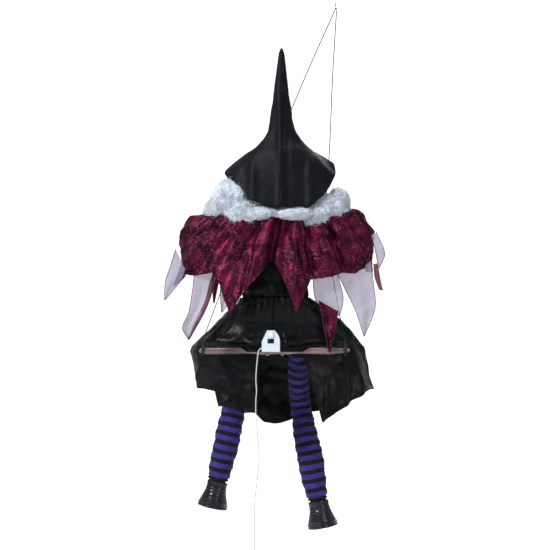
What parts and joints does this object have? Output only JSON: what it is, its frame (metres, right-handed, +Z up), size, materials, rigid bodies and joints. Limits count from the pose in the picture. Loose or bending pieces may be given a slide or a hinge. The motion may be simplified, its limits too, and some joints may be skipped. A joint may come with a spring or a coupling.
{
  "type": "animated hanging witch figure",
  "caption": "Hanging witch on a swing bar with motor-driven kicking legs, free-swinging shins, a control box with button and slide switch, and a push-button lead.",
  "frame": {"origin": "centre of the loop at the top of the string, where the hook passes", "axes": "+Z up, +Y the way the witch faces, +X to the right as seen from behind"},
  "size_m": [0.4, 0.2774, 1.1081],
  "materials": {
    "string": "braided polyester cord",
    "branch": "knobbly moulded branch, glossy mauve brown",
    "white_plastic": "satin moulded white",
    "dark_plastic": "fine moulded texture",
    "gear_plastic": "natural acetal",
    "skin": "painted vinyl",
    "felt": "matte black twill",
    "hair": "fuzzy grey fibre",
    "lame": "sparkling burgundy lame",
    "satin": "black satin",
    "organza": "sheer organza",
    "knit": "striped knit, purple and black",
    "boot": "glossy moulded black",
    "steel": "plain zinc plated",
    "grey_plastic": "moulded grey",
    "board": "green circuit board",
    "lead": "thin white flexible sheath",
    "tie": "black twist tie",
    "plunger": "glossy red cap"
  },
  "bodies": {
    "hanger": {"string_loop": "string"},
    "figure": {"loop_knot": "string", "rope_left": "string", "rope_right": "string", "perch_bar": "branch", "control_box": "white_plastic", "control_cover": "white_plastic", "trigger_body": "white_plastic", "pelvis_back": "dark_plastic", "pelvis_front": "dark_plastic", "torso_back": "dark_plastic", "torso_front": "dark_plastic", "battery_case": "dark_plastic", "neck_post": "dark_plastic", "head_shell": "skin", "hand_left": "skin", "hand_right": "skin", "hat": "felt", "hair_left": "hair", "hair_right": "hair", "cape": "lame", "skirt_point_left": "lame", "skirt_point_right": "lame", "bodice": "satin", "skirt": "satin", "arm_left": "satin", "arm_right": "satin", "sheer_left": "organza", "sheer_right": "organza", "bar_screw_left": "steel", "bar_screw_right": "steel", "housing_screw_lower": "steel", "housing_screw_upper": "steel", "battery_cell_1": "steel", "battery_cell_2": "steel", "motor": "grey_plastic", "speaker": "grey_plastic", "circuit_board": "board", "trigger_lead": "lead", "lead_hank": "lead", "strain_relief": "lead", "hank_tie": "tie"},
    "thigh_left": {"thigh_core_left": "grey_plastic", "thigh_stocking_left": "knit", "knee_pin_left": "steel"},
    "thigh_right": {"thigh_core_right": "grey_plastic", "thigh_stocking_right": "knit", "knee_pin_right": "steel"},
    "shin_left": {"shin_core_left": "grey_plastic", "shin_stocking_left": "knit", "boot_left": "boot"},
    "shin_right": {"shin_core_right": "grey_plastic", "shin_stocking_right": "knit", "boot_right": "boot"},
    "crank": {"crank_gear": "gear_plastic", "crank_shaft": "steel"},
    "worm_spindle": {"worm": "steel"},
    "box_button_cap": {"box_button": "white_plastic"},
    "switch_lever": {"slide_switch": "dark_plastic"},
    "trigger_cap": {"trigger_plunger": "plunger"}
  },
  "joints": [
    {"name": "swing", "type": "hinge", "parent": "hanger", "child": "figure", "pos_m": [0, 0, 0], "axis": [1, 0, 0], "range_deg": [-20, 20]},
    {"name": "kick_left", "type": "hinge", "parent": "figure", "child": "thigh_left", "pos_m": [-0.159, -0.038, -0.618], "axis": [1, 0, 0], "range_deg": [-20, 1]},
    {"name": "kick_right", "type": "hinge", "parent": "figure", "child": "thigh_right", "pos_m": [-0.071, -0.038, -0.618], "axis": [1, 0, 0], "range_deg": [-1, 20]},
    {"name": "knee_left", "type": "hinge", "parent": "thigh_left", "child": "shin_left", "pos_m": [-0.181, 0.07762, -0.711], "axis": [0.9763, 0, -0.2164], "range_deg": [-35, 5]},
    {"name": "knee_right", "type": "hinge", "parent": "thigh_right", "child": "shin_right", "pos_m": [-0.069, 0.04179, -0.745], "axis": [0.9829, 0, 0.184], "range_deg": [-35, 5]},
    {"name": "crank_spin", "type": "hinge", "parent": "figure", "child": "crank", "pos_m": [-0.115, -0.038, -0.588], "axis": [1, 0, 0], "continuous": true},
    {"name": "worm_spin", "type": "hinge", "parent": "figure", "child": "worm_spindle", "pos_m": [-0.1125, -0.0204, -0.588], "axis": [0, 0, 1], "continuous": true},
    {"name": "button_press", "type": "slide", "parent": "figure", "child": "box_button_cap", "axis": [0, 1, 0], "range_m": [0, 0.002], "stiffness_N_per_m": 300},
    {"name": "switch_slide", "type": "slide", "parent": "figure", "child": "switch_lever", "axis": [1, 0, 0], "range_m": [0, 0.0045]},
    {"name": "trigger_press", "type": "slide", "parent": "figure", "child": "trigger_cap", "axis": [0, 1, 0], "range_m": [0, 0.0015], "stiffness_N_per_m": 400}
  ],
  "couplings": [
    {"joint": "kick_right", "follows": "kick_left", "ratio": -1},
    {"joint": "worm_spin", "follows": "crank_spin", "ratio": -28}
  ]
}
